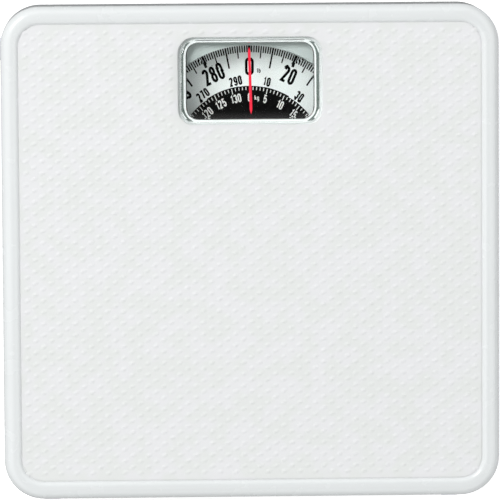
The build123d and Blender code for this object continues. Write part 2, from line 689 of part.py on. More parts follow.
def main():
    os.makedirs("parts", exist_ok=True)
    save("platform_cover", make_platform_cover())
    save("platform_mat", make_platform_mat())
    save("lens", make_lens())
    save("lens_retainer", make_lens_retainer())
    save("pointer", make_pointer())
    save("base_pan", make_base_pan())
    save("rivets", make_rivets())
    save("spring_bridge", make_spring_bridge())
    save("dial_mask", make_dial_mask())
    save("crank_pin", make_crank_pin())
    save("dial_bracket", make_dial_bracket())
    save("lower_bush", make_bush(FLOOR_Z, FLOOR_Z + 1.3))
    save("upper_bush", make_bush(18.0, 20.8))
    save("rack_guide", make_rack_guide())
    for name, side_x, side_y in CORNERS:
        save(f"platform_post_{name}", make_platform_post(side_x, side_y))
        save(f"platform_spring_{name}", make_platform_spring(side_x, side_y))
        save(f"fulcrum_{name}", make_fulcrum(side_x, side_y))
        if side_y > 0:
            foot = make_foot(True, side_x, FOOT_OFFSET)
        else:
            foot = make_foot(False, side_y, side_x * FOOT_OFFSET)
        save(f"foot_{name}", foot)
    long_lever = make_long_lever()
    short_lever = make_short_lever()
    save("long_lever_left", long_lever)
    save("long_lever_right", mirror(long_lever, Plane.YZ))
    save("short_lever_left", short_lever)
    save("short_lever_right", mirror(short_lever, Plane.YZ))
    save("nose_plate", make_nose_plate())
    save("zero_wheel", make_zero_wheel())
    save("adjusting_screw", make_adjusting_screw())
    save("main_spring", make_main_spring())
    save("rack_spring", make_rack_spring())
    save("crank", make_crank())
    save("rack", make_rack())
    save("rack_pin", make_rack_pin())
    save("pinion", make_pinion())
    save("dial_shaft", make_dial_shaft())
    save("dial_hub", make_dial_hub())
    save("dial_disc", make_dial_disc())
    save("dial_nut", make_dial_nut())


main()
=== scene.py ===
import json
import math

import bpy
from mathutils import Matrix, Vector


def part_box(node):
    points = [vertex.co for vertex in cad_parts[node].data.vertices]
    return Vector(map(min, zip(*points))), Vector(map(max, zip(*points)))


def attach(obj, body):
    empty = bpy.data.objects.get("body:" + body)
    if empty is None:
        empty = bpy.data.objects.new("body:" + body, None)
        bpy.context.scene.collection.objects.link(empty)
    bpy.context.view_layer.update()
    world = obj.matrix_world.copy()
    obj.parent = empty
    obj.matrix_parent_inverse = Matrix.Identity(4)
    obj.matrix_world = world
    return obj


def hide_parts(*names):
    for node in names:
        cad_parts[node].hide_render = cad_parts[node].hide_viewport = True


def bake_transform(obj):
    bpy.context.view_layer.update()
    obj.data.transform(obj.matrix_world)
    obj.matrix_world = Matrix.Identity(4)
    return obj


# Looks of the mechanical dial platform scale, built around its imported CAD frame.
# Metres, +Z up, +Y is the dial end. MM turns the millimetres of the drawings into metres.

MM = 0.001

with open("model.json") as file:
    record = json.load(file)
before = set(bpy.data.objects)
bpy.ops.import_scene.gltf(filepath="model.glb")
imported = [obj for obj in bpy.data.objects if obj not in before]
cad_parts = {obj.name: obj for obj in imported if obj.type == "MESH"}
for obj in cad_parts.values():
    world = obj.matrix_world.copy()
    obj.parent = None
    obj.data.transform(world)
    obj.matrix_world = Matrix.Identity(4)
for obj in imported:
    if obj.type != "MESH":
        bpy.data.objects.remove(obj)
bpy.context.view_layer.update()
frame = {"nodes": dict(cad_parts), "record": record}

COVER_LOW, COVER_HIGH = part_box("platform_cover")
MAT_LOW, MAT_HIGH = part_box("platform_mat")
LENS_LOW, LENS_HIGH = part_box("lens")
DISC_LOW, DISC_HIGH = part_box("dial_disc")
COVER_CENTRE = (COVER_LOW + COVER_HIGH) / 2
MAT_CENTRE = (MAT_LOW + MAT_HIGH) / 2
LENS_CENTRE = (LENS_LOW + LENS_HIGH) / 2
DIAL_CENTRE = (DISC_LOW + DISC_HIGH) / 2

# Mat embossing: slanted strokes in a staggered lattice, each of a few low rings and a tip
STROKE_PITCH_X = 8.56 * MM
STROKE_PITCH_Y = 3.11 * MM
STROKE_LENGTH = 5.0 * MM
STROKE_WIDTH = 3.0 * MM
STROKE_HEIGHT = 0.38 * MM
STROKE_ANGLE = math.radians(26)
STROKE_SINK = 0.005 * MM
STROKE_POINTS = 10
STROKE_LEVELS = 3
MAT_MARGIN = 3.2 * MM
LENS_MARGIN = 2.6 * MM
MAT_SHARP_DEGREES = 60

# Mat lip: its outline's corner radius, and its section as distances out from the mat and up from its top
MAT_R = 11.4 * MM
LIP_SECTION = (
    (-0.3 * MM, -0.06 * MM),
    (0.43 * MM, -0.28 * MM),
    (0.43 * MM, -0.9 * MM),
    (-0.3 * MM, -0.9 * MM),
)

# Lens: a body in the cover's window, a flange that sits on the cover, walls that lean inwards, a domed top.
# LENS_RING_SHARES are the sizes of the rings on the top and in the hollow, as shares of the outermost.
LENS_WIDTH = LENS_HIGH.x - LENS_LOW.x
LENS_DEPTH = LENS_HIGH.y - LENS_LOW.y
LENS_FLANGE_R = 8.5 * MM
LENS_FLANGE_THICK = 1.9 * MM
LENS_BODY_X = 68.1 * MM
LENS_BODY_Y = 40.1 * MM
LENS_BODY_R = 6.4 * MM
LENS_BODY_DEEP = 2.2 * MM
LENS_SEAT_GAP = 0.06 * MM
LENS_SEAT_Z = LENS_LOW.z + LENS_BODY_DEEP + LENS_SEAT_GAP
LENS_FOOT_Z = LENS_LOW.z + LENS_BODY_DEEP + LENS_FLANGE_THICK
LENS_EDGE = 0.35 * MM
LENS_DOME_R = 67.0 * MM
LENS_HOLLOW_R = 100.0 * MM
LENS_HOLLOW_RIM = 1.0 * MM
LENS_HOLLOW_MIN = 0.25 * MM
LENS_STEP = 1.2 * MM
LENS_WALL_SLOPE = math.tan(math.radians(9))
LENS_REFRACTION = 1.49
LENS_RING_SHARES = (0.05, 0.14, 0.23, 0.32, 0.41, 0.5, 0.58, 0.66, 0.74, 0.81, 0.87, 0.92, 0.96, 0.985)
LENS_SHARP_DEGREES = 35

# Painted lines under the lens's flange, white ones as highlights and a dark one as shade of the lens's edge,
# each between two distances out from the lens's body
EDGE_LINE_THICK = 0.03 * MM
EDGE_LINE_LIFT = 0.01 * MM
WHITE_LINES = ((0.3 * MM, 1.15 * MM), (1.7 * MM, 2.5 * MM))
DARK_LINE = (1.15 * MM, 1.7 * MM)

# Dial print: each tick is (length, width), and each text is (height, a digit's width, line thickness)
PRINT_THICK = 0.04 * MM
PRINT_BASE = DISC_HIGH.z + 0.002 * MM
POUNDS_PER_TURN = 300
DEGREES_PER_POUND = 360 / POUNDS_PER_TURN
TICK_R = 62.4 * MM
POUND_TICK = (3.4 * MM, 0.7 * MM)
FIVE_POUND_TICK = (6.3 * MM, 0.68 * MM)
TEN_POUND_TICK = (10.5 * MM, 0.88 * MM)
TWENTY_POUND_TICK = (5.9 * MM, 1.4 * MM)
ZERO_R = 51.9 * MM
BIG_R = 51.8 * MM
MIDDLE_R = 45.1 * MM
LB_R = 49.8 * MM
LB_SIDE = 5.0 * MM
KILOGRAMS_PER_TURN = 135
DEGREES_PER_KILOGRAM = 360 / KILOGRAMS_PER_TURN
BLACK_R = 42.2 * MM
BLACK_HOLE_R = 5.0 * MM
BLACK_POINTS = 180
KILOGRAM_TICK_R = BLACK_R - 0.5 * MM
KILOGRAM_TICK = (1.5 * MM, 0.42 * MM)
FIVE_KILOGRAM_TICK = (2.7 * MM, 0.42 * MM)
SMALL_R = 36.5 * MM
KG_R = 36.3 * MM
KG_SIDE = 3.9 * MM
ZERO_TEXT = (9.1 * MM, 4.8 * MM, 1.45 * MM)
BIG_TEXT = (8.7 * MM, 3.4 * MM, 1.38 * MM)
MIDDLE_TEXT = (4.8 * MM, 2.05 * MM, 0.9 * MM)
SMALL_TEXT = (4.35 * MM, 1.85 * MM, 0.66 * MM)
UNIT_TEXT = (2.5 * MM, 1.15 * MM, 0.42 * MM)

# Text: how far numbers of three digits stand off their tick, and the proportions of the characters
THREE_DIGITS = 100
POUND_SIDE = 2.0 * MM
KILOGRAM_SIDE = 1.2 * MM
NARROW_SHARE = 0.68
GAP_SHARE = 0.16
MITRE_LIMIT = 0.55

# Camera: where it stands and what it aims at, from the middle of the platform's top
CAMERA_DISTANCE = 2.5
CAMERA_SIDE = -0.0724
CAMERA_FORWARD = 0.2434
CAMERA_AIM_X = -0.0007
CAMERA_AIM_Y = 0.0015
CAMERA_ROLL = math.radians(-0.352)
CAMERA_LENS = 338.4
CAMERA_SENSOR = 36.0
CAMERA_REACH = 20

# Light: the sky's dark panel is an area of directions, soft between two shares of its half sizes
SKY_STRENGTH = 1.28
SKY_BRIGHT_FROM = 0.35
PANEL_HALF_X = 0.3
PANEL_HALF_Y = 0.62
PANEL_SOFT_FROM = 0.8
PANEL_SOFT_TO = 1.15
PANEL_DARK = 0.03
KEY_PLACE = (-1.3, 1.2, 1.5)
KEY_SIZE = 0.7
KEY_POWER = 22.0
FLOOR_HALF = 3.0
FLOOR_GLOW = 0.4


# ---------------------------------------------------------------- materials

def shader_of(material):
    return material.node_tree.nodes["Principled BSDF"]


def new_material(name, colour, roughness, **sockets):
    """A Principled material. Sockets are named with _ for a space, such as Coat_Weight."""
    material = bpy.data.materials.new(name)
    material.use_nodes = True
    shader = shader_of(material)
    shader.inputs["Base Color"].default_value = (*colour, 1)
    shader.inputs["Roughness"].default_value = roughness
    for socket, value in sockets.items():
        shader.inputs[socket.replace("_", " ")].default_value = value
    return material


def texture(material, kind, scale, stretch=(1, 1, 1), **sockets):
    """A texture node's first output, in the object's own metres; scale is repeats to a metre."""
    nodes = material.node_tree.nodes
    links = material.node_tree.links
    place = nodes.new("ShaderNodeTexCoord")
    mapping = nodes.new("ShaderNodeMapping")
    mapping.inputs["Scale"].default_value = stretch
    made = nodes.new(kind)
    made.inputs["Scale"].default_value = scale
    for socket, value in sockets.items():
        made.inputs[socket.replace("_", " ")].default_value = value
    links.new(place.outputs["Object"], mapping.inputs["Vector"])
    links.new(mapping.outputs["Vector"], made.inputs["Vector"])
    return made.outputs[0]


def noise(material, scale, stretch=(1, 1, 1), detail=4.0):
    """Cloudy variation; a stretch above 1 makes it finer along that axis."""
    return texture(material, "ShaderNodeTexNoise", scale, stretch, Detail=detail)


def cells(material, scale):
    """Distance to the middle of small cells, for grain and spangle."""
    return texture(material, "ShaderNodeTexVoronoi", scale)


def vary_colour(material, factor, dark, light, low=0.35, high=0.65):
    """Base colour from dark to light as the factor goes from low to high."""
    nodes = material.node_tree.nodes
    links = material.node_tree.links
    ramp = nodes.new("ShaderNodeValToRGB")
    ramp.color_ramp.elements[0].position = low
    ramp.color_ramp.elements[0].color = (*dark, 1)
    ramp.color_ramp.elements[1].position = high
    ramp.color_ramp.elements[1].color = (*light, 1)
    links.new(factor, ramp.inputs["Fac"])
    links.new(ramp.outputs["Color"], shader_of(material).inputs["Base Color"])


def vary_roughness(material, factor, smooth, rough, low=0.3, high=0.7):
    """Roughness from smooth to rough as the factor goes from low to high."""
    nodes = material.node_tree.nodes
    links = material.node_tree.links
    span = nodes.new("ShaderNodeMapRange")
    span.inputs["From Min"].default_value = low
    span.inputs["From Max"].default_value = high
    span.inputs["To Min"].default_value = smooth
    span.inputs["To Max"].default_value = rough
    links.new(factor, span.inputs["Value"])
    links.new(span.outputs["Result"], shader_of(material).inputs["Roughness"])


def add_bump(material, factor, depth):
    """Bump of that depth in metres; a second call adds to the first."""
    nodes = material.node_tree.nodes
    links = material.node_tree.links
    normal = shader_of(material).inputs["Normal"]
    bump = nodes.new("ShaderNodeBump")
    bump.inputs["Strength"].default_value = 1.0
    bump.inputs["Distance"].default_value = depth
    links.new(factor, bump.inputs["Height"])
    if normal.is_linked:
        links.new(normal.links[0].from_socket, bump.inputs["Normal"])
    links.new(bump.outputs["Normal"], normal)


def white_enamel():
    made = new_material("white_enamel", (0.7, 0.72, 0.725), 0.28, Coat_Weight=0.3, Coat_Roughness=0.12)
    vary_colour(made, noise(made, 14), (0.672, 0.69, 0.694), (0.682, 0.7, 0.706))
    vary_roughness(made, noise(made, 90), 0.2, 0.3)
    add_bump(made, noise(made, 520, detail=2.0), 0.012 * MM)
    return made


def mat_vinyl():
    made = new_material("mat_vinyl", (0.69, 0.705, 0.7), 0.55, Specular_IOR_Level=0.25)
    vary_colour(made, noise(made, 90, detail=2.0), (0.668, 0.68, 0.672), (0.688, 0.69, 0.702), 0.42, 0.58)
    vary_roughness(made, noise(made, 300), 0.42, 0.6)
    add_bump(made, cells(made, 1100), 0.02 * MM)
    add_bump(made, noise(made, 2600, detail=3.0), 0.012 * MM)
    return made


def clear_plastic():
    """Clear acrylic: glass to the eye, and open to the light of lamps."""
    made = bpy.data.materials.new("clear_plastic")
    made.use_nodes = True
    nodes = made.node_tree.nodes
    links = made.node_tree.links
    nodes.remove(shader_of(made))
    glass = nodes.new("ShaderNodeBsdfGlass")
    glass.inputs["Color"].default_value = (0.985, 0.995, 0.99, 1)
    glass.inputs["IOR"].default_value = LENS_REFRACTION
    span = nodes.new("ShaderNodeMapRange")
    span.inputs["To Min"].default_value = 0.0
    span.inputs["To Max"].default_value = 0.03
    links.new(noise(made, 160), span.inputs["Value"])
    links.new(span.outputs["Result"], glass.inputs["Roughness"])
    clear = nodes.new("ShaderNodeBsdfTransparent")
    path = nodes.new("ShaderNodeLightPath")
    mix = nodes.new("ShaderNodeMixShader")
    links.new(path.outputs["Is Shadow Ray"], mix.inputs["Fac"])
    links.new(glass.outputs["BSDF"], mix.inputs[1])
    links.new(clear.outputs["BSDF"], mix.inputs[2])
    links.new(mix.outputs["Shader"], nodes["Material Output"].inputs["Surface"])
    return made


def pointer_red():
    made = new_material("pointer_red", (0.88, 0.01, 0.045), 0.4)
    vary_colour(made, noise(made, 500), (0.84, 0.008, 0.038), (0.92, 0.012, 0.052))
    vary_roughness(made, noise(made, 900), 0.35, 0.5)
    return made


def base_paint():
    made = new_material("base_paint", (0.5, 0.52, 0.53), 0.4, Coat_Weight=0.2)
    vary_colour(made, noise(made, 30), (0.43, 0.45, 0.46), (0.53, 0.545, 0.55))
    vary_roughness(made, noise(made, 120), 0.35, 0.55)
    add_bump(made, noise(made, 900, detail=3.0), 0.03 * MM)
    return made


def foot_plastic():
    made = new_material("foot_plastic", (0.66, 0.66, 0.72), 0.55)
    vary_colour(made, noise(made, 60), (0.62, 0.62, 0.68), (0.7, 0.7, 0.76))
    vary_roughness(made, noise(made, 400), 0.45, 0.65)
    add_bump(made, cells(made, 1500), 0.03 * MM)
    return made


def zinc_plate():
    made = new_material("zinc_plate", (0.62, 0.63, 0.62), 0.35, Metallic=1.0)
    vary_colour(made, cells(made, 260), (0.5, 0.52, 0.53), (0.7, 0.7, 0.68), 0.1, 0.9)
    vary_roughness(made, noise(made, 200), 0.26, 0.46)
    add_bump(made, noise(made, 700), 0.01 * MM)
    return made


def lever_steel():
    made = new_material("lever_steel", (0.42, 0.42, 0.41), 0.4, Metallic=1.0)
    vary_colour(made, noise(made, 40), (0.33, 0.33, 0.32), (0.47, 0.46, 0.44))
    vary_roughness(made, noise(made, 90, (8, 1, 8)), 0.3, 0.55)
    add_bump(made, noise(made, 260, (9, 1, 9)), 0.01 * MM)
    return made


def spring_steel():
    made = new_material("spring_steel", (0.36, 0.36, 0.37), 0.3, Metallic=1.0)
    vary_colour(made, noise(made, 300), (0.28, 0.28, 0.3), (0.42, 0.42, 0.42))
    vary_roughness(made, noise(made, 900), 0.22, 0.42)
    add_bump(made, noise(made, 2500), 0.006 * MM)
    return made


def machined_steel():
    made = new_material("machined_steel", (0.6, 0.6, 0.61), 0.28, Metallic=1.0)
    vary_colour(made, noise(made, 200), (0.52, 0.52, 0.53), (0.66, 0.66, 0.66))
    vary_roughness(made, noise(made, 350, (1, 1, 12)), 0.2, 0.4)
    add_bump(made, noise(made, 500, (1, 1, 14)), 0.008 * MM)
    return made


def rack_steel():
    made = new_material("rack_steel", (0.5, 0.5, 0.52), 0.35, Metallic=1.0)
    vary_colour(made, noise(made, 150), (0.42, 0.42, 0.44), (0.57, 0.57, 0.58))
    vary_roughness(made, noise(made, 200, (10, 1, 10)), 0.28, 0.48)
    add_bump(made, noise(made, 400, (12, 1, 12)), 0.008 * MM)
    return made


def brass():
    made = new_material("brass", (0.72, 0.5, 0.2), 0.3, Metallic=1.0)
    vary_colour(made, noise(made, 250), (0.6, 0.4, 0.15), (0.78, 0.57, 0.25))
    vary_roughness(made, noise(made, 600), 0.22, 0.42)
    add_bump(made, noise(made, 900, (1, 1, 8)), 0.006 * MM)
    return made


def guide_plastic():
    made = new_material("guide_plastic", (0.78, 0.76, 0.68), 0.45, Subsurface_Weight=0.1)
    vary_colour(made, noise(made, 180), (0.74, 0.71, 0.62), (0.82, 0.8, 0.73))
    vary_roughness(made, noise(made, 500), 0.38, 0.55)
    add_bump(made, noise(made, 1400), 0.01 * MM)
    return made


def wheel_plastic():
    made = new_material("wheel_plastic", (0.03, 0.03, 0.033), 0.35)
    vary_colour(made, noise(made, 300), (0.022, 0.022, 0.025), (0.045, 0.045, 0.05))
    vary_roughness(made, noise(made, 700), 0.28, 0.48)
    add_bump(made, noise(made, 1600), 0.01 * MM)
    return made


def dial_face():
    """Silver grey paint on aluminium, with a fine satin grain."""
    made = new_material("dial_face", (0.9, 0.94, 0.93), 0.42, Specular_IOR_Level=0.2)
    vary_colour(made, noise(made, 60), (0.88, 0.92, 0.915), (0.92, 0.96, 0.955))
    vary_roughness(made, noise(made, 900), 0.32, 0.46)
    add_bump(made, noise(made, 3000), 0.004 * MM)
    return made


def mask_paint():
    """The plate beside the dial: the dial's silver grey made darker as painted shade, for the shade beside
    the dial under the cover.
    """
    # Painted shade: this plate is coloured darker than the dial so that it reads as the shade round the
    # dial.
    made = new_material("mask_paint", (0.46, 0.51, 0.5), 0.5, Specular_IOR_Level=0.2)
    vary_colour(made, noise(made, 60), (0.44, 0.49, 0.48), (0.49, 0.54, 0.53))
    vary_roughness(made, noise(made, 700), 0.42, 0.56)
    add_bump(made, noise(made, 2600), 0.004 * MM)
    return made


def border_white():
    # Painted highlight: this white stands in for the bright lines along the clear lens's edge.
    made = new_material("border_white", (0.84, 0.87, 0.87), 0.3)
    vary_colour(made, noise(made, 300), (0.82, 0.85, 0.85), (0.86, 0.885, 0.885))
    vary_roughness(made, noise(made, 700), 0.25, 0.4)
    return made


def gasket_rubber():
    # Painted shade: this dark colour stands in for the dark line along the clear lens's edge.
    made = new_material("gasket_rubber", (0.09, 0.12, 0.11), 0.6)
    vary_colour(made, noise(made, 400), (0.07, 0.1, 0.09), (0.12, 0.15, 0.14))
    vary_roughness(made, noise(made, 900), 0.5, 0.7)
    return made


def ink(name, dark, light):
    """Flat printing ink with hardly any sheen."""
    made = new_material(name, light, 0.5, Specular_IOR_Level=0.0)
    vary_colour(made, noise(made, 700), dark, light)
    vary_roughness(made, noise(made, 1500), 0.34, 0.5)
    return made


# ---------------------------------------------------------------- mesh helpers

class Builder:
    """Collects corners and faces, and makes one mesh piece of them."""

    def __init__(self):
        self.points = []
        self.faces = []

    def add(self, points, faces):
        """Adds a shape whose faces count its own points from 0."""
        first = len(self.points)
        self.points += points
        self.faces += [[first + i for i in face] for face in faces]

    def add_rings(self, rings, closed_low=True, closed_high=True):
        """Rings of equal length, joined by quads; an end ring is closed by a face of its own."""
        count = len(rings[0])
        faces = []
        for k in range(len(rings) - 1):
            for i in range(count):
                j = (i + 1) % count
                faces.append([k * count + i, k * count + j, (k + 1) * count + j, (k + 1) * count + i])
        if closed_low:
            faces.append(list(range(count))[::-1])
        if closed_high:
            top = (len(rings) - 1) * count
            faces.append([top + i for i in range(count)])
        self.add([p for ring in rings for p in ring], faces)

    def finish(self, name, material, body, smooth=False):
        """The piece, riding on a body, in the given material."""
        mesh = bpy.data.meshes.new(name)
        mesh.from_pydata(self.points, [], self.faces)
        mesh.validate()
        mesh.polygons.foreach_set("use_smooth", [smooth] * len(mesh.polygons))
        mesh.materials.append(material)
        piece = bpy.data.objects.new(name, mesh)
        bpy.context.scene.collection.objects.link(piece)
        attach(piece, body)
        return piece


def rounded_rectangle(width, depth, radius, steps=10):
    """Points round a rectangle with rounded corners, about the origin, anticlockwise."""
    points = []
    for quarter in range(4):
        side_x = 1 if quarter in (0, 3) else -1
        side_y = 1 if quarter in (0, 1) else -1
        for step in range(steps + 1):
            angle = math.pi / 2 * (quarter + step / steps)
            x = side_x * (width / 2 - radius) + radius * math.cos(angle)
            y = side_y * (depth / 2 - radius) + radius * math.sin(angle)
            points.append((x, y))
    return points


# ---------------------------------------------------------------- mat

def stroke(builder, x, y, z):
    """One embossed stroke: a low, long swelling that leaves the mat without an edge."""
    points = []
    faces = [list(range(STROKE_POINTS))[::-1]]
    for level in range(STROKE_LEVELS):
        share = 1 - level / STROKE_LEVELS
        height = STROKE_HEIGHT * (1 + math.cos(math.pi * share)) / 2
        for i in range(STROKE_POINTS):
            angle = 2 * math.pi * i / STROKE_POINTS
            along = share * STROKE_LENGTH / 2 * math.cos(angle)
            across = share * STROKE_WIDTH / 2 * math.sin(angle)
            points.append((
                x + along * math.cos(STROKE_ANGLE) - across * math.sin(STROKE_ANGLE),
                y + along * math.sin(STROKE_ANGLE) + across * math.cos(STROKE_ANGLE),
                z + height,
            ))
    for level in range(STROKE_LEVELS - 1):
        low = level * STROKE_POINTS
        high = low + STROKE_POINTS
        for i in range(STROKE_POINTS):
            j = (i + 1) % STROKE_POINTS
            faces.append([low + i, low + j, high + j, high + i])
    tip = len(points)
    points.append((x, y, z + STROKE_HEIGHT))
    last = tip - STROKE_POINTS
    for i in range(STROKE_POINTS):
        faces.append([last + i, last + (i + 1) % STROKE_POINTS, tip])
    builder.add(points, faces)


def near_rectangle(x, y, low, high, margin):
    """Whether a point lies in a box seen from above, grown by a margin."""
    inside_x = low.x - margin < x < high.x + margin
    return inside_x and low.y - margin < y < high.y + margin


def add_mat_lip(builder):
    """The thin lip that closes the groove round the mat."""
    rings = []
    for out, up in LIP_SECTION:
        width = MAT_HIGH.x - MAT_LOW.x + 2 * out
        depth = MAT_HIGH.y - MAT_LOW.y + 2 * out
        outline = rounded_rectangle(width, depth, MAT_R + out)
        rings.append([(MAT_CENTRE.x + x, MAT_CENTRE.y + y, MAT_HIGH.z + up) for x, y in outline])
    rings.append(rings[0])
    builder.add_rings(rings, closed_low=False, closed_high=False)


def make_embossing(material):
    """The strokes all over the mat, except round the lens and along the mat's edge."""
    builder = Builder()
    columns = int((MAT_HIGH.x - MAT_LOW.x) / STROKE_PITCH_X / 2) + 1
    rows = int((MAT_HIGH.y - MAT_LOW.y) / STROKE_PITCH_Y / 2) + 1
    for row in range(-rows, rows + 1):
        for column in range(-columns, columns + 1):
            x = MAT_CENTRE.x + (column + 0.5 * (row % 2)) * STROKE_PITCH_X
            y = MAT_CENTRE.y + row * STROKE_PITCH_Y
            on_mat = near_rectangle(x, y, MAT_LOW, MAT_HIGH, -MAT_MARGIN)
            on_lens = near_rectangle(x, y, LENS_LOW, LENS_HIGH, LENS_MARGIN)
            if on_mat and not on_lens:
                stroke(builder, x, y, MAT_HIGH.z - STROKE_SINK)
    add_mat_lip(builder)
    piece = builder.finish("mat_embossing", material, "platform", smooth=True)
    mark_sharp_edges(piece, MAT_SHARP_DEGREES)


# ---------------------------------------------------------------- lens

def dome_z(y):
    """Height of the lens's cylindrical top, above a point y from its centre line."""
    return LENS_HIGH.z - LENS_DOME_R + math.sqrt(LENS_DOME_R**2 - y**2)


def wall_ring(drop):
    """A ring on the sloped wall, that many metres below the dome."""
    width = LENS_WIDTH - 2 * LENS_STEP
    depth = LENS_DEPTH - 2 * LENS_STEP
    points = []
    for x, y in rounded_rectangle(width, depth, LENS_FLANGE_R - LENS_STEP):
        z = dome_z(y) - drop
        inset = (z - LENS_FOOT_Z) * LENS_WALL_SLOPE
        shrink_x = 1 - inset / (LENS_WIDTH / 2 - LENS_STEP)
        shrink_y = 1 - inset / (LENS_DEPTH / 2 - LENS_STEP)
        points.append((LENS_CENTRE.x + x * shrink_x, LENS_CENTRE.y + y * shrink_y, z))
    return points


def flat_ring(width, depth, radius, z):
    """A level ring round the lens's middle."""
    outline = rounded_rectangle(width, depth, radius)
    return [(LENS_CENTRE.x + x, LENS_CENTRE.y + y, z) for x, y in outline]


def hollow_z(y):
    """Height of the hollow in the lens's underside, above a point y from its centre line."""
    half = LENS_BODY_Y / 2 - LENS_HOLLOW_RIM
    rise = math.sqrt(LENS_HOLLOW_R**2 - y**2) - math.sqrt(LENS_HOLLOW_R**2 - half**2)
    return LENS_LOW.z + LENS_HOLLOW_MIN + rise


def hollow_rings():
    """Rings of the underside's shallow hollow, from its middle out to the rim it leaves."""
    rim = 2 * LENS_HOLLOW_RIM
    edge = flat_ring(LENS_BODY_X - rim, LENS_BODY_Y - rim, LENS_BODY_R - LENS_HOLLOW_RIM, LENS_LOW.z)
    rings = []
    for share in LENS_RING_SHARES + (1.0,):
        ring = []
        for x, y, _ in edge:
            near_y = (y - LENS_CENTRE.y) * share
            near_x = LENS_CENTRE.x + (x - LENS_CENTRE.x) * share
            ring.append((near_x, LENS_CENTRE.y + near_y, hollow_z(near_y)))
        rings.append(ring)
    return rings + [edge]


def flange_rings():
    """Rings from the body's foot up its side, round the flange and in to where the walls start."""
    edge = LENS_EDGE
    low = LENS_LOW.z
    foot = LENS_FOOT_Z
    step = 2 * LENS_STEP
    return [
        flat_ring(LENS_BODY_X - 2 * edge, LENS_BODY_Y - 2 * edge, LENS_BODY_R - edge, low),
        flat_ring(LENS_BODY_X, LENS_BODY_Y, LENS_BODY_R, low + edge),
        flat_ring(LENS_BODY_X, LENS_BODY_Y, LENS_BODY_R, LENS_SEAT_Z),
        flat_ring(LENS_WIDTH, LENS_DEPTH, LENS_FLANGE_R, LENS_SEAT_Z),
        flat_ring(LENS_WIDTH, LENS_DEPTH, LENS_FLANGE_R, foot - edge),
        flat_ring(LENS_WIDTH - edge, LENS_DEPTH - edge, LENS_FLANGE_R - edge / 2, foot - edge / 4),
        flat_ring(LENS_WIDTH - 2 * edge, LENS_DEPTH - 2 * edge, LENS_FLANGE_R - edge, foot),
        flat_ring(LENS_WIDTH - step, LENS_DEPTH - step, LENS_FLANGE_R - LENS_STEP, foot),
    ]


def dome_rings():
    """Rings of the domed top, from its edge in to its middle."""
    rings = []
    for share in reversed(LENS_RING_SHARES):
        ring = []
        for x, y, _ in wall_ring(0):
            near_x = LENS_CENTRE.x + (x - LENS_CENTRE.x) * share
            near_y = LENS_CENTRE.y + (y - LENS_CENTRE.y) * share
            ring.append((near_x, near_y, dome_z(near_y - LENS_CENTRE.y)))
        rings.append(ring)
    return rings


def make_lens(material):
    """The moulded lens, as one stack of rings from the middle of its hollow to the middle of its top.

    The rings have points at their corners only, so the top is flat across towards its two ends.
    """
    builder = Builder()
    builder.add_rings(hollow_rings() + flange_rings() + [wall_ring(LENS_EDGE)] + dome_rings())
    piece = builder.finish("magnifying_lens", material, "platform", smooth=True)
    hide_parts("lens")
    mark_sharp_edges(piece, LENS_SHARP_DEGREES)


def add_border(builder, inner, outer):
    """A thin flat painted line round the lens's body, on the cover and under the flange."""
    z = LENS_LOW.z + LENS_BODY_DEEP + EDGE_LINE_LIFT
    rings = []
    for out, up in ((inner, 0), (outer, 0), (outer, EDGE_LINE_THICK), (inner, EDGE_LINE_THICK)):
        outline = flat_ring(LENS_BODY_X + 2 * out, LENS_BODY_Y + 2 * out, LENS_BODY_R + out, z + up)
        rings.append(outline)
    rings.append(rings[0])
    builder.add_rings(rings, closed_low=False, closed_high=False)


def make_borders(white, dark):
    """The lines that show through the lens's flange: white lines as painted highlights of the lens's edge,
    and a dark line in the middle of them as painted shade of that edge.
    """
    highlights = Builder()
    for inner, outer in WHITE_LINES:
        add_border(highlights, inner, outer)
    highlights.finish("lens_highlight_lines", white, "platform")
    shade_ring = Builder()
    add_border(shade_ring, *DARK_LINE)
    shade_ring.finish("lens_shade_line", dark, "platform")


def mark_sharp_edges(piece, degrees):
    """Shading breaks at edges that turn by more than that angle."""
    bpy.context.view_layer.objects.active = piece
    piece.select_set(True)
    bpy.ops.object.shade_smooth_by_angle(angle=math.radians(degrees))
    piece.select_set(False)


# ---------------------------------------------------------------- dial print

def on_dial(x, y, degrees):
    """A point of the dial: x to the right and y outwards, after a clockwise turn."""
    angle = math.radians(-degrees)
    return (
        DIAL_CENTRE.x + x * math.cos(angle) - y * math.sin(angle),
        DIAL_CENTRE.y + x * math.sin(angle) + y * math.cos(angle),
    )


def add_tick(builder, degrees, outer, size, base):
    length, width = size
    half = width / 2
    inner = outer - length
    corners = [(-half, inner), (half, inner), (half, outer), (-half, outer)]
    rings = []
    for z in (base, base + PRINT_THICK):
        rings.append([(*on_dial(x, y, degrees), z) for x, y in corners])
    builder.add_rings(rings)


def arc(x, y, radius_x, radius_y, start, end, steps=12):
    """Points along an ellipse, between two angles in degrees."""
    points = []
    for step in range(steps + 1):
        angle = math.radians(start + (end - start) * step / steps)
        points.append((x + radius_x * math.cos(angle), y + radius_y * math.sin(angle)))
    return points


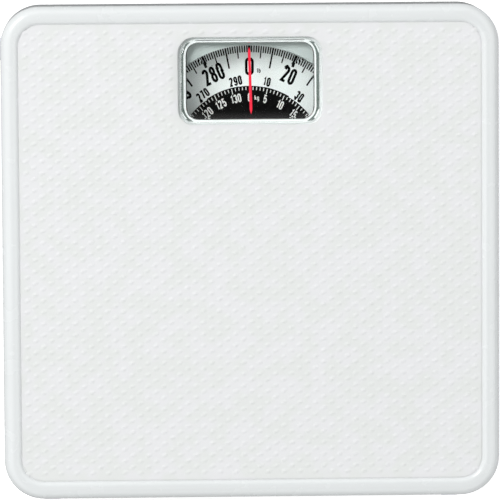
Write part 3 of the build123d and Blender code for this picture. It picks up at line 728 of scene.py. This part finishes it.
def numeral_lines():
    """The centre lines of each character in a box one wide and one high; True marks a closed line."""
    ring = arc(0.5, 0.8, 0.5, 0.2, 0, 180) + arc(0.5, 0.2, 0.5, 0.2, 180, 360)
    six = arc(0.5, 0.8, 0.5, 0.2, 5, 180) + arc(0.5, 0.2, 0.5, 0.2, 180, 360)
    six += arc(0.5, 0.4, 0.5, 0.2, 0, 165)
    upper_bowl = arc(0.5, 0.77, 0.45, 0.23, 0, 345, 20)
    lower_bowl = arc(0.5, 0.27, 0.5, 0.27, 0, 345, 20)
    small_bowl = arc(0.5, 0.33, 0.5, 0.33, 0, 345, 20)
    return {
        "0": [(ring, True)],
        "1": [([(0, 0.78), (0.8, 1), (0.8, 0)], False)],
        "2": [(arc(0.5, 0.79, 0.48, 0.21, 175, -25) + [(0.02, 0), (1, 0)], False)],
        "3": [
            (arc(0.5, 0.78, 0.47, 0.22, 170, -90), False),
            (arc(0.5, 0.28, 0.5, 0.28, 90, -170), False),
        ],
        "4": [([(0.75, 0), (0.75, 1), (0, 0.24), (1.05, 0.24)], False)],
        "5": [([(0.95, 1), (0.1, 1), (0.05, 0.52)] + arc(0.5, 0.32, 0.5, 0.31, 135, -165), False)],
        "6": [(six, False)],
        "7": [([(0, 1), (1, 1), (0.35, 0)], False)],
        "8": [(upper_bowl, True), (lower_bowl, True)],
        "9": [([(1 - x, 1 - y) for x, y in six], False)],
        "l": [([(0.5, 0), (0.5, 1)], False)],
        "b": [([(0, 0), (0, 1)], False), (small_bowl, True)],
        "k": [
            ([(0, 0), (0, 1)], False),
            ([(0.9, 0.66), (0, 0.28)], False),
            ([(0.3, 0.4), (1, 0)], False),
        ],
        "g": [(small_bowl, True), ([(1, 0.66), (1, -0.15)] + arc(0.5, -0.15, 0.5, 0.15, 0, -150), False)],
    }


def thick_line(line, closed, half):
    """The two edges of a line of constant thickness, with mitred corners."""
    sides = []
    count = len(line)
    for i in range(count):
        before = line[i - 1] if closed or i > 0 else line[i]
        after = line[(i + 1) % count] if closed or i < count - 1 else line[i]
        into = Vector((line[i][0] - before[0], line[i][1] - before[1]))
        out = Vector((after[0] - line[i][0], after[1] - line[i][1]))
        into = into.normalized() if into.length > 0 else out.normalized()
        out = out.normalized() if out.length > 0 else into
        middle = (into + out).normalized()
        reach = half / max(MITRE_LIMIT, middle.dot(into))
        sides.append((-middle.y * reach, middle.x * reach))
    left = [(p[0] + d[0], p[1] + d[1]) for p, d in zip(line, sides)]
    right = [(p[0] - d[0], p[1] - d[1]) for p, d in zip(line, sides)]
    return left, right


def add_line(builder, line, closed, half, degrees, base):
    """A printed line of that half width, on the dial at that angle."""
    left, right = thick_line(line, closed, half)
    rings = []
    for a, b in zip(left, right):
        low_a, low_b = on_dial(*a, degrees), on_dial(*b, degrees)
        top = base + PRINT_THICK
        rings.append([(*low_a, base), (*low_b, base), (*low_b, top), (*low_a, top)])
    if closed:
        rings.append(rings[0])
    builder.add_rings(rings, closed_low=not closed, closed_high=not closed)


def add_text(builder, text, degrees, radius, size, base, side=0.0):
    """Text across the dial's radius, shifted sideways by side. The characters 1 and l are narrower."""
    height, width, thick = size
    lines_of = numeral_lines()
    gap = GAP_SHARE * width
    widths = [width * (NARROW_SHARE if character in "1l" else 1.0) for character in text]
    total = sum(widths) + gap * (len(text) - 1)
    left = side - total / 2
    for character, wide in zip(text, widths):
        start = left + thick / 2
        foot = radius - height / 2 + thick / 2
        for line, closed in lines_of[character]:
            placed = [(start + x * (wide - thick), foot + y * (height - thick)) for x, y in line]
            add_line(builder, placed, closed, thick / 2, degrees, base)
        left += wide + gap


def pound_tick(pound):
    """The size of a tick: the twenties are short and thick, and the tens between them are long."""
    if pound % 20 == 0:
        return TWENTY_POUND_TICK
    if pound % 10 == 0:
        return TEN_POUND_TICK
    if pound % 5 == 0:
        return FIVE_POUND_TICK
    return POUND_TICK


def make_pound_scale(material):
    """The outer scale, in black on the disc."""
    ticks = Builder()
    numerals = Builder()
    for pound in range(POUNDS_PER_TURN):
        degrees = pound * DEGREES_PER_POUND
        add_tick(ticks, degrees, TICK_R, pound_tick(pound), PRINT_BASE)
        side = POUND_SIDE if pound >= THREE_DIGITS else 0.0
        if pound == 0:
            add_text(numerals, "0", degrees, ZERO_R, ZERO_TEXT, PRINT_BASE)
        elif pound % 20 == 0:
            add_text(numerals, str(pound), degrees, BIG_R, BIG_TEXT, PRINT_BASE, side)
        elif pound % 10 == 0:
            add_text(numerals, str(pound), degrees, MIDDLE_R, MIDDLE_TEXT, PRINT_BASE, side)
    add_text(numerals, "lb", 0, LB_R, UNIT_TEXT, PRINT_BASE, LB_SIDE)
    ticks.finish("pound_ticks", material, "dial")
    numerals.finish("pound_numerals", material, "dial")


def make_kilogram_band(material):
    """The black ring that the inner scale is printed on."""
    band = Builder()
    top = PRINT_BASE + PRINT_THICK
    section = ((BLACK_HOLE_R, PRINT_BASE), (BLACK_R, PRINT_BASE), (BLACK_R, top), (BLACK_HOLE_R, top))
    rings = []
    for radius, z in section:
        ring = [on_dial(0, radius, -360 * i / BLACK_POINTS) for i in range(BLACK_POINTS)]
        rings.append([(x, y, z) for x, y in ring])
    rings.append(rings[0])
    band.add_rings(rings, closed_low=False, closed_high=False)
    band.finish("kilogram_band", material, "dial")


def make_kilogram_scale(material):
    """The inner scale, in white on the black band."""
    base = PRINT_BASE + PRINT_THICK
    ticks = Builder()
    numerals = Builder()
    for kilogram in range(KILOGRAMS_PER_TURN):
        degrees = kilogram * DEGREES_PER_KILOGRAM
        five = kilogram % 5 == 0
        add_tick(ticks, degrees, KILOGRAM_TICK_R, FIVE_KILOGRAM_TICK if five else KILOGRAM_TICK, base)
        if five:
            side = KILOGRAM_SIDE if kilogram >= THREE_DIGITS else 0.0
            add_text(numerals, str(kilogram), degrees, SMALL_R, SMALL_TEXT, base, side)
    add_text(numerals, "kg", 0, KG_R, UNIT_TEXT, base, KG_SIDE)
    ticks.finish("kilogram_ticks", material, "dial")
    numerals.finish("kilogram_numerals", material, "dial")


# ---------------------------------------------------------------- springs

def make_stretching_spring(node, material):
    """A coil copied from its CAD node in the given material, in place of the node, which it hides."""
    mesh = frame["nodes"][node].data.copy()
    mesh.materials.clear()
    mesh.materials.append(material)
    piece = bpy.data.objects.new(node + "_coil", mesh)
    bpy.context.scene.collection.objects.link(piece)
    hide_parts(node)
    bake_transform(piece)


def make_springs(material):
    for corner in ("front_left", "front_right", "rear_left", "rear_right"):
        node = "platform_spring_" + corner
        make_stretching_spring(node, material)
    make_stretching_spring("main_spring", material)
    make_stretching_spring("rack_spring", material)


# ---------------------------------------------------------------- stage

def make_floor():
    """A plain pale floor that glows a little, and that neither lights the scale nor shows in its gloss."""
    mesh = bpy.data.meshes.new("floor")
    half = FLOOR_HALF
    corners = [(-half, -half, 0), (half, -half, 0), (half, half, 0), (-half, half, 0)]
    mesh.from_pydata(corners, [], [(0, 1, 2, 3)])
    made = new_material("floor_white", (0.93, 0.93, 0.93), 0.7)
    shader_of(made).inputs["Emission Color"].default_value = (1, 1, 1, 1)
    shader_of(made).inputs["Emission Strength"].default_value = FLOOR_GLOW
    vary_roughness(made, noise(made, 5), 0.6, 0.8)
    mesh.materials.append(made)
    floor = bpy.data.objects.new("floor", mesh)
    bpy.context.scene.collection.objects.link(floor)
    floor.visible_diffuse = False
    floor.visible_glossy = False


def aim(obj, target):
    obj.rotation_mode = "QUATERNION"
    obj.rotation_quaternion = (target - obj.location).to_track_quat("-Z", "Y")


def add_area_light(name, place, size, power, target):
    light = bpy.data.lights.new(name, "AREA")
    light.shape = "SQUARE"
    light.size = size
    light.energy = power
    lamp = bpy.data.objects.new(name, light)
    lamp.location = place
    bpy.context.scene.collection.objects.link(lamp)
    aim(lamp, target)


def make_sky():
    """Soft light from all round, with a dark panel straight above that the lens and the ink mirror."""
    world = bpy.data.worlds.new("studio")
    world.use_nodes = True
    nodes = world.node_tree.nodes
    links = world.node_tree.links
    place = nodes.new("ShaderNodeTexCoord")
    split = nodes.new("ShaderNodeSeparateXYZ")
    links.new(place.outputs["Generated"], split.inputs["Vector"])
    reaches = []
    for axis, half in (("X", PANEL_HALF_X), ("Y", PANEL_HALF_Y)):
        size = nodes.new("ShaderNodeMath")
        size.operation = "ABSOLUTE"
        links.new(split.outputs[axis], size.inputs[0])
        reach = nodes.new("ShaderNodeMath")
        reach.operation = "DIVIDE"
        reach.inputs[1].default_value = half
        links.new(size.outputs[0], reach.inputs[0])
        reaches.append(reach)
    outside = nodes.new("ShaderNodeMath")
    outside.operation = "MAXIMUM"
    links.new(reaches[0].outputs[0], outside.inputs[0])
    links.new(reaches[1].outputs[0], outside.inputs[1])
    panel = nodes.new("ShaderNodeMapRange")
    panel.interpolation_type = "SMOOTHSTEP"
    panel.inputs["From Min"].default_value = PANEL_SOFT_FROM
    panel.inputs["From Max"].default_value = PANEL_SOFT_TO
    panel.inputs["To Min"].default_value = PANEL_DARK
    links.new(outside.outputs[0], panel.inputs["Value"])
    ramp = nodes.new("ShaderNodeValToRGB")
    ramp.color_ramp.elements[0].color = (0.4, 0.405, 0.41, 1)
    ramp.color_ramp.elements[1].position = SKY_BRIGHT_FROM
    ramp.color_ramp.elements[1].color = (0.99, 1.0, 0.995, 1)
    links.new(split.outputs["Z"], ramp.inputs["Fac"])
    power = nodes.new("ShaderNodeMath")
    power.operation = "MULTIPLY"
    power.inputs[1].default_value = SKY_STRENGTH
    links.new(panel.outputs["Result"], power.inputs[0])
    background = nodes["Background"]
    links.new(ramp.outputs["Color"], background.inputs["Color"])
    links.new(power.outputs[0], background.inputs["Strength"])
    bpy.context.scene.world = world


def make_lights():
    make_sky()
    add_area_light("key", KEY_PLACE, KEY_SIZE, KEY_POWER, COVER_CENTRE)
    bpy.context.scene.view_settings.view_transform = "Standard"


def make_camera():
    """Far above the platform, a little towards the dial end, and turned by a third of a degree."""
    scene = bpy.context.scene
    data = bpy.data.cameras.new("camera")
    data.sensor_width = CAMERA_SENSOR
    data.lens = CAMERA_LENS
    data.clip_end = CAMERA_REACH
    camera = bpy.data.objects.new("camera", data)
    middle = COVER_CENTRE
    top = COVER_HIGH.z
    target = Vector((middle.x + CAMERA_AIM_X, middle.y + CAMERA_AIM_Y, top))
    place = Vector((middle.x + CAMERA_SIDE, middle.y + CAMERA_FORWARD, top + CAMERA_DISTANCE))
    forward = (target - place).normalized()
    right = forward.cross(Vector((0, 1, 0))).normalized()
    up = right.cross(forward)
    turned_right = right * math.cos(CAMERA_ROLL) + up * math.sin(CAMERA_ROLL)
    turned_up = up * math.cos(CAMERA_ROLL) - right * math.sin(CAMERA_ROLL)
    axes = Matrix((turned_right, turned_up, -forward)).transposed()
    camera.matrix_world = Matrix.Translation(place) @ axes.to_4x4()
    scene.collection.objects.link(camera)
    scene.camera = camera


# ---------------------------------------------------------------- the whole scene

def paint_nodes(materials):
    """Every CAD node takes the material of its slot in the record."""
    for part in frame["record"]["subparts"]:
        node = frame["nodes"][part["node"]]
        node.data.materials.clear()
        node.data.materials.append(materials[part["material_slot"]])


def make_materials():
    """Every material by its name; those that CAD nodes wear are named as the record's slots."""
    makers = (
        white_enamel, mat_vinyl, clear_plastic, pointer_red, base_paint, foot_plastic,
        zinc_plate, lever_steel, spring_steel, machined_steel, rack_steel, brass,
        guide_plastic, wheel_plastic, dial_face, mask_paint, border_white, gasket_rubber,
    )
    made = {maker.__name__: maker() for maker in makers}
    made["black_ink"] = ink("black_ink", (0.002, 0.002, 0.002), (0.006, 0.006, 0.006))
    made["white_ink"] = ink("white_ink", (0.78, 0.8, 0.79), (0.86, 0.87, 0.86))
    return made


def main():
    materials = make_materials()
    paint_nodes(materials)
    make_camera()
    make_floor()
    make_lights()
    make_embossing(materials["mat_vinyl"])
    make_lens(materials["clear_plastic"])
    make_borders(materials["border_white"], materials["gasket_rubber"])
    make_springs(materials["spring_steel"])
    make_pound_scale(materials["black_ink"])
    make_kilogram_band(materials["black_ink"])
    make_kilogram_scale(materials["white_ink"])


main()
